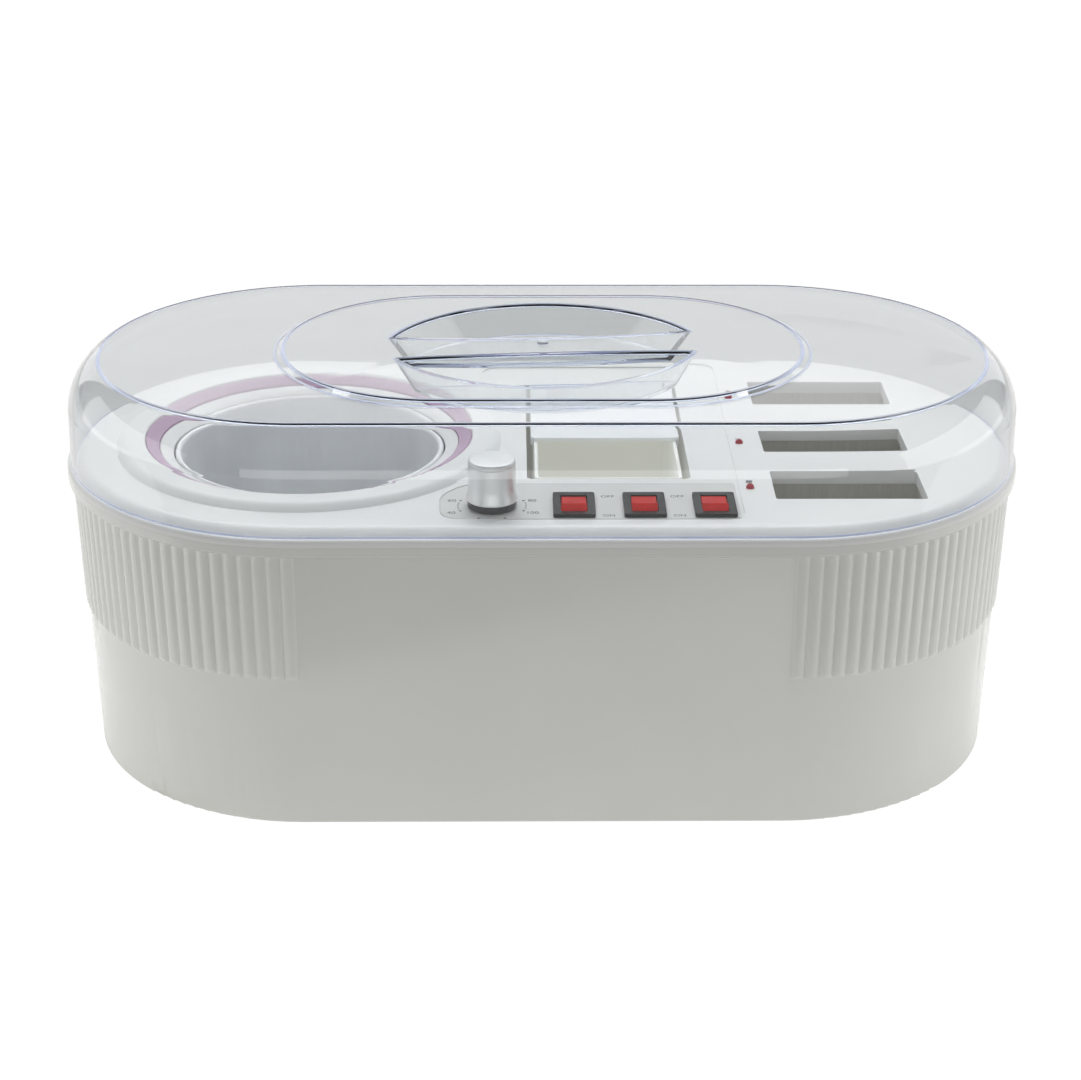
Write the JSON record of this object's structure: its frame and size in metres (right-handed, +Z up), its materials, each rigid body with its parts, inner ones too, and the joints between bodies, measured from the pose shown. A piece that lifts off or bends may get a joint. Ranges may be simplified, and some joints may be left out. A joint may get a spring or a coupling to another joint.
{
  "type": "yogurt maker",
  "caption": "Countertop warming appliance with a lift-off clear lid, a round heated pot bay, a covered box bay, cartridge slots, a thermostat knob and rocker switches.",
  "frame": {"origin": "centre of the footprint on the table, under the middle of the bounding box", "axes": "+X to the right along the longest extent, +Y to the back, +Z up; the controls face -Y"},
  "size_m": [0.3734, 0.1912, 0.1633],
  "materials": {
    "white_abs": "moulded satin",
    "cover_white": "moulded satin",
    "box_grey": "moulded matt",
    "overlay_grey": "printed film",
    "clear_plastic": "clear polished plastic",
    "trim_pink": "moulded satin",
    "aluminium": "spun, satin",
    "felt": "needled glass-fibre felt",
    "heater_rubber": "moulded silicone",
    "steel": "plated",
    "copper_tube": "drawn",
    "brass": "stamped",
    "black_plastic": "moulded satin",
    "red_lens": "translucent moulded",
    "board_green": "solder resist",
    "rubber": "moulded",
    "wire_insulation": "extruded"
  },
  "bodies": {
    "housing": {"board_components": "black_plastic", "board_screws": "steel", "cartridge_chamber_front": "aluminium", "cartridge_chamber_middle": "aluminium", "cartridge_chamber_rear": "aluminium", "chamber_heater_front": "steel", "chamber_heater_middle": "steel", "chamber_heater_rear": "steel", "chamber_support": "steel", "chamber_thermal_cutouts": "black_plastic", "collar_trim_ring": "trim_pink", "control_board": "board_green", "control_overlay": "overlay_grey", "housing_screws": "steel", "inlet_pins": "brass", "inlet_screws": "steel", "led_front": "red_lens", "led_middle": "red_lens", "led_rear": "red_lens", "lower_housing": "white_abs", "mains_inlet": "black_plastic", "pot_bezel_ring": "white_abs", "pot_heater_band": "heater_rubber", "pot_heater_can": "aluminium", "pot_insulation": "felt", "pot_thermal_cutout": "black_plastic", "rubber_feet": "rubber", "switch_body_1": "black_plastic", "switch_body_2": "black_plastic", "switch_body_3": "black_plastic", "switch_terminals": "brass", "thermostat_capillary": "copper_tube", "thermostat_control": "black_plastic", "thermostat_nut": "steel", "top_deck": "white_abs", "wiring_harness": "wire_insulation"},
    "lid": {"clear_lid": "clear_plastic"},
    "pot": {"inner_pot": "aluminium"},
    "box": {"accessory_box": "box_grey"},
    "cover": {"box_cover": "cover_white"},
    "knob": {"temperature_knob": "aluminium", "knob_base_ring": "black_plastic", "thermostat_shaft": "steel"},
    "rocker_1": {"switch_rocker_1": "red_lens"},
    "rocker_2": {"switch_rocker_2": "red_lens"},
    "rocker_3": {"switch_rocker_3": "red_lens"}
  },
  "joints": [
    {"name": "lid_lift", "type": "slide", "parent": "housing", "child": "lid", "axis": [0, 0, 1], "range_m": [0, 0.12]},
    {"name": "pot_lift", "type": "slide", "parent": "housing", "child": "pot", "axis": [0, 0, 1], "range_m": [0, 0.02]},
    {"name": "box_lift", "type": "slide", "parent": "housing", "child": "box", "axis": [0, 0, 1], "range_m": [0, 0.018]},
    {"name": "cover_slide", "type": "slide", "parent": "box", "child": "cover", "axis": [0, -1, 0], "range_m": [0, 0.041]},
    {"name": "knob_turn", "type": "hinge", "parent": "housing", "child": "knob", "pos_m": [-0.0195, -0.069, 0.13], "axis": [0, 0, -1], "range_deg": [0, 270]},
    {"name": "rocker_1_hinge", "type": "hinge", "parent": "housing", "child": "rocker_1", "pos_m": [0.0108, -0.07, 0.1226], "axis": [1, 0, 0], "range_deg": [0, 24]},
    {"name": "rocker_2_hinge", "type": "hinge", "parent": "housing", "child": "rocker_2", "pos_m": [0.0368, -0.07, 0.1226], "axis": [1, 0, 0], "range_deg": [0, 24]},
    {"name": "rocker_3_hinge", "type": "hinge", "parent": "housing", "child": "rocker_3", "pos_m": [0.0628, -0.07, 0.1226], "axis": [1, 0, 0], "range_deg": [0, 24]}
  ]
}
